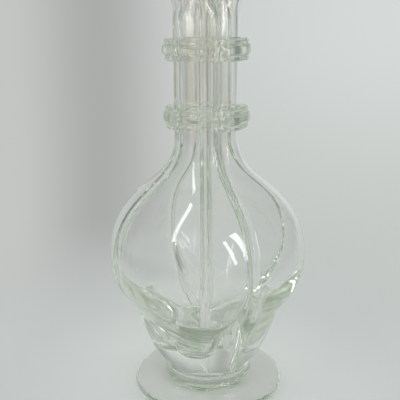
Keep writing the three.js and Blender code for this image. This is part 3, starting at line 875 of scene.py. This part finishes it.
class DECANTER_OT_collars(Operator):
    """Build the two beaded collars"""

    bl_idname = "decanter.collars"
    bl_label = "Collars"

    def execute(self, context):
        s, c = sizes("body_sizes"), sizes("collar_sizes")
        turn = around(256)
        bore = self.bore(s, c, turn)

        def fused(x, y, z):
            distance = np.hypot(x, y) - c.seam
            return (distance < s.neck_radius + HAIR) & (distance > s.neck_radius - c.key + HAIR)

        glass = material_for("Collar glass", glass_material, sizes("glass_look").collar_density)
        for phase, node in enumerate(("lower_collar", "upper_collar")):
            low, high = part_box(node)
            half = (high[2] - low[2]) / 2
            waver = 0.5 + 0.3 * np.sin(3 * turn + phase) + 0.2 * np.sin(7 * turn + 2 * phase)
            rings = [(bore, np.full_like(bore, level)) for level in spread(9, half, -half)]
            rings += [(radius - c.unevenness * waver, np.full_like(bore, level))
                      for radius, level in self.beads(c, high[0], half)]
            radius, level = np.array(rings).transpose(1, 0, 2)
            grid = turned_rings(radius, level + (low[2] + high[2]) / 2, turn)
            make_piece(f"beaded_{node}", grid_mesh(grid, False, True), ROOT, node, glass,
                       {"fused": fused})
        return {"FINISHED"}

    @staticmethod
    def bore(s, c, turn):
        """The bore's radius at each turn: the necks' surface, no deeper than the key, plus the seam.

        Beside a seam between two necks their surface is the circle of the edge's rounding about its centre.
        """
        in_quarter = turn % QUARTER
        from_seam = np.minimum(in_quarter, QUARTER - in_quarter)
        centre = s.neck_radius - s.edge_rounding
        off = np.maximum(0, math.asin((s.seam / 2 + s.edge_rounding) / centre) - from_seam)
        sideways = np.minimum(centre * np.sin(off), s.edge_rounding)
        surface = centre * np.cos(off) + np.sqrt(s.edge_rounding**2 - sideways**2)
        return np.maximum(surface, s.neck_radius - c.key) + c.seam

    @staticmethod
    def beads(c, radius, half):
        """Radius and level round the three beads.

        The upper narrow one and half of the broad one are a cubic each, and are mirrored below.
        """
        narrow = radius - c.step
        bulge = narrow + 0.5 * MM
        bead = c.bead * half
        groove = (narrow - c.groove, bead)
        narrow_bead = bezier([(narrow - 1.1 * MM, half), (bulge, half), (bulge, bead + 0.6 * MM), groove],
                             spread(9))
        broad_bead = bezier([groove, (radius + 0.1 * MM, 0.98 * bead), (radius, 0.3 * bead), (radius, 0)],
                            steps(8))
        upper = np.concatenate([narrow_bead, broad_bead])
        return np.concatenate([upper[:-1] * [1, -1], upper[::-1]])


class DECANTER_OT_stoppers(Operator):
    """Build the corks and the finials"""

    bl_idname = "decanter.stoppers"
    bl_label = "Stoppers"

    def execute(self, context):
        chamber = Chamber()
        s = sizes("stopper_sizes")
        cork, glass = material_for("Cork", cork_material), material_for("Stopper glass", glass_material)
        sleeve = turned_mesh(self.cork_profile(chamber, s), 96)
        ball = turned_mesh(self.finial_profile(s), 128)
        for place, turns in PLACES.items():
            body, at = f"stopper_{place}", chamber.stopper_place(turns)
            make_piece(f"sleeve_{place}", sleeve, body, f"cork_{place}", cork, place=at)
            make_piece(f"ball_{place}", ball, body, f"finial_{place}", glass, place=at)
        return {"FINISHED"}

    @staticmethod
    def cork_profile(chamber, s):
        """Down the bore, out along the bottom, up the tapered side and in over the top."""
        bore = s.peg_radius + s.clearance
        low, high, edge = -s.cork_depth, s.cork_proud, s.cork_edge
        foot = chamber.bore_at(s.cork_depth) - s.cork_clearance
        head = chamber.bore_at(0) - s.cork_clearance
        hole = np.stack([np.full(24, bore), spread(24, high, low)], 1)
        bottom = bezier([(foot - edge, low), (foot, low), (foot, low + edge)], spread(6))
        side = np.stack([mix(foot, head, steps(20)), steps(20, low + edge, 0)], 1)
        top = bezier([(head, high - edge), (head, high), (head - edge, high)], spread(6))
        return np.concatenate([hole, bottom, side, top])

    @staticmethod
    def finial_profile(s):
        """From the peg's end up over the flange and the throat and round the ball to its top."""
        seat = s.cork_proud + s.clearance
        flange_top = seat + s.flange_height
        throat_top = flange_top + s.throat_height
        start = math.asin(s.throat_radius / s.ball_radius)
        middle = throat_top + s.ball_radius * math.cos(start)
        end = seat - s.peg_length
        shank_foot = end + 0.8 * s.peg_radius
        flange_edge = (s.flange_radius, mix(seat, flange_top, 0.5))
        peg = bezier([(0, end), (s.peg_radius, end), (s.peg_radius, shank_foot)], spread(10))
        shank = np.stack([np.full(12, s.peg_radius), steps(12, shank_foot, seat)], 1)
        flange = bezier([(s.flange_radius - 0.8 * MM, seat), (s.flange_radius, seat), flange_edge],
                        spread(8))
        throat = bezier([flange_edge, (s.flange_radius, flange_top), (s.throat_radius, flange_top),
                         (s.throat_radius, flange_top + 0.4 * s.throat_height)], steps(16))
        turn = spread(56, start, math.pi)
        ball = np.stack([s.ball_radius * np.sin(turn), middle - s.ball_radius * np.cos(turn)], 1)
        ball[-1, 0] = 0
        return np.concatenate([peg, shank, flange, throat, ball])


PANE_ROLL, PANE_AIM = math.radians(14), Vector((0, 0, 0.1))
FRAME_WIDTH = 36  # millimetres
FLOOR_RADIUS, FLOOR_GAP = 6, 0.3 * MM
BOUNCES, CLEAR_BOUNCES = 40, 64  # light meets many walls on its way through the nest of chambers


def around_camera(degrees, distance, height):
    """A place at a turn to the right of the camera, seen from the decanter, in degrees."""
    azimuth = sizes("studio_settings").azimuth + math.radians(degrees)
    return Vector((distance * math.sin(azimuth), -distance * math.cos(azimuth), height))


def backdrop_colour(direction):
    """The surroundings by compass direction.

    In front of the camera stands the backdrop: darker on the left, lighter on the right, with a soft shade
    left of the decanter. What the glass reflects or lets through also meets the room: a dimmer one high
    above the backdrop and behind the camera, and a darker one at each side.
    """
    st = sizes("studio_settings")
    shade_left, shade_width, shade_depth = 0.16, 0.13, 0.8
    cosine, sine = math.cos(st.azimuth), math.sin(st.azimuth)
    unit = vector_math("NORMALIZE", direction)
    across, ahead, up = (vector_math("DOT_PRODUCT", unit, axis)
                         for axis in ((cosine, sine, 0), (-sine, cosine, 0), (0, 0, 1)))
    right = mixed_colour(up.ramp(low=-0.35, high=0), st.backdrop_right, st.backdrop_top)
    colour = mixed_colour(across.ramp(low=-0.25, high=0.3), st.backdrop_left, right)
    off_shade = (across + shade_left).math("ABSOLUTE").ramp(0, shade_width)
    shade = (1 - off_shade) * ahead.ramp(low=0, high=0.5) * shade_depth
    colour = mixed_colour(shade, colour, st.backdrop_shade)
    in_glass = 1 - light_path(direction.tree, "Camera")
    colour = mixed_colour(up.ramp(low=0.05, high=0.4) * in_glass, colour, st.ceiling)
    colour = mixed_colour((1 - ahead.ramp(low=-0.1, high=0.55)) * in_glass, colour, st.room)
    left = mixed_colour(up.ramp(low=-0.28, high=-0.10), st.left_low, st.left_side)
    side = mixed_colour(across.ramp(low=-0.1, high=0.1), left, st.right_side)
    to_sides = across.math("ABSOLUTE").ramp(low=0.48, high=0.74)
    return mixed_colour(to_sides * in_glass, colour, side)


def seen_directly(tree):
    """1 for rays that show the surroundings: from the camera, or reflected or let through by the glass."""
    camera, glossy, through = (light_path(tree, ray) for ray in ("Camera", "Glossy", "Transmission"))
    return camera.math("MAXIMUM", glossy).math("MAXIMUM", through)


def mixed_shaders(tree, factor, first, second, output):
    """Two shaders mixed by a factor, into the surface of an output node."""
    both = Shader.node(tree, "MixShader", i0=factor, i1=first, i2=second)
    both.into(tree.nodes[output].inputs["Surface"])


def window(name, turn, distance, height, width, length, radiance):
    """A rectangular lamp of a radiance, at a turn to the camera's right in degrees.

    Its power is the radiance times pi times the area.
    """
    light = bpy.data.lights.new(name, "AREA")
    light.shape = "RECTANGLE"
    light.size, light.size_y = width, length
    light.energy = radiance * math.pi * width * length
    lamp = add_object(name, light)
    place = around_camera(turn, distance, height)
    towards = (PANE_AIM - place).to_track_quat("-Z", "Y").to_matrix().to_4x4()
    lamp.matrix_world = Matrix.Translation(place) @ towards @ Matrix.Rotation(PANE_ROLL, 4, "Z")


def floor_material(name):
    """Pale matt floor, lighter round the foot by a painted pool of light, that passes into the backdrop's
    colour with distance, so that no horizon shows.
    """
    st = sizes("studio_settings")
    material, tree, shader = new_material(name, Roughness=0.9, Specular_IOR_Level=0.0)
    place = object_place(tree)
    distance = vector_math("LENGTH", place)
    # Painted pool of light: a lighter floor colour round the foot that fades out with distance, for the
    # light that the glass gathers there
    colour = mixed_colour(distance.ramp(st.light_pool_start, st.light_pool_end), st.floor_light_pool, st.floor_colour)
    colour.into(shader.inputs["Base Color"])
    from_camera = vector_math("SUBTRACT", place, tuple(around_camera(0, st.distance, st.height)))
    glow = Shader.node(tree, "Emission", Color=backdrop_colour(from_camera))
    far = distance.ramp(st.fade_start, st.fade_end)
    mixed_shaders(tree, far * seen_directly(tree), Shader(tree, shader.outputs[0]), glow, "Material Output")
    return material


class DECANTER_OT_studio(Operator):
    """Set up the floor, the light and the camera"""

    bl_idname = "decanter.studio"
    bl_label = "Studio"

    def execute(self, context):
        st = sizes("studio_settings")
        self.surroundings(context.scene, st)
        self.floor()
        window("wide_pane", turn=44, distance=1.15, height=0.62, width=0.18, length=0.95, radiance=7)
        window("narrow_pane", turn=27, distance=1.2, height=0.52, width=0.08, length=0.80, radiance=5.5)
        window("left_pane", turn=-52, distance=1.1, height=1.58, width=0.12, length=1.55, radiance=5.5)
        self.camera(context.scene, st)
        context.scene.view_settings.view_transform = "Standard"
        cycles = context.scene.cycles
        cycles.max_bounces = cycles.transmission_bounces = cycles.glossy_bounces = BOUNCES
        cycles.transparent_max_bounces = CLEAR_BOUNCES
        return {"FINISHED"}

    @staticmethod
    def surroundings(scene, st):
        scene.world = bpy.data.worlds.new("Studio")
        scene.world.use_nodes = True
        tree = scene.world.node_tree
        fill = tree.nodes["Background"]
        fill.inputs["Color"].default_value = (*st.fill_colour, 1)
        fill.inputs["Strength"].default_value = st.fill
        direction = Shader.node(tree, "TexCoord", output="Generated")
        shown = Shader.node(tree, "Background", Color=backdrop_colour(direction))
        mixed_shaders(tree, seen_directly(tree), Shader(tree, fill.outputs[0]), shown, "World Output")

    @staticmethod
    def floor():
        """A disc under the foot: radius times the cosine and the sine of the turn."""
        mesh = bpy.data.meshes.new("floor")
        corners = turned_rings(FLOOR_RADIUS, -FLOOR_GAP, around(64))
        mesh.from_pydata(corners.tolist(), [], [list(range(len(corners)))])
        mesh.materials.append(floor_material("Floor"))
        add_object("floor", mesh)

    @staticmethod
    def camera(scene, st):
        lens = bpy.data.cameras.new("Camera")
        lens.lens = st.lens
        lens.sensor_width = FRAME_WIDTH
        camera = add_object("Camera", lens)
        turn = (Matrix.Rotation(st.azimuth + st.yaw, 4, "Z") @ Matrix.Rotation(QUARTER - st.pitch, 4, "X")
                @ Matrix.Rotation(st.roll, 4, "Z"))
        camera.matrix_world = Matrix.Translation(around_camera(0, st.distance, st.height)) @ turn
        scene.camera = camera


class DECANTER_PT_panel(Panel):
    """Lists the decanter's operators"""

    bl_idname = "DECANTER_PT_panel"
    bl_label = "Decanter"
    bl_space_type = "VIEW_3D"
    bl_region_type = "UI"
    bl_category = "Decanter"

    def draw(self, context):
        for operator in OPERATORS:
            self.layout.operator(operator.bl_idname)


GROUPS = {"body_sizes": BodySizes, "cavity_sizes": CavitySizes, "spout_sizes": SpoutSizes,
          "foot_sizes": FootSizes, "collar_sizes": CollarSizes, "stopper_sizes": StopperSizes,
          "glass_look": GlassLook, "cork_look": CorkLook, "studio_settings": StudioSettings}
OPERATORS = (DECANTER_OT_studio, DECANTER_OT_base, DECANTER_OT_chambers, DECANTER_OT_collars,
             DECANTER_OT_stoppers)


def register():
    for name, group in GROUPS.items():
        bpy.utils.register_class(group)
        setattr(bpy.types.Scene, name, PointerProperty(type=group))
    for cls in (*OPERATORS, DECANTER_PT_panel):
        bpy.utils.register_class(cls)


def unregister():
    for cls in (DECANTER_PT_panel, *reversed(OPERATORS)):
        bpy.utils.unregister_class(cls)
    for name, group in GROUPS.items():
        delattr(bpy.types.Scene, name)
        bpy.utils.unregister_class(group)


def main():
    register()
    for operator in OPERATORS:
        family, name = operator.bl_idname.split(".")
        getattr(getattr(bpy.ops, family), name)()


if __name__ == "__main__":
    main()
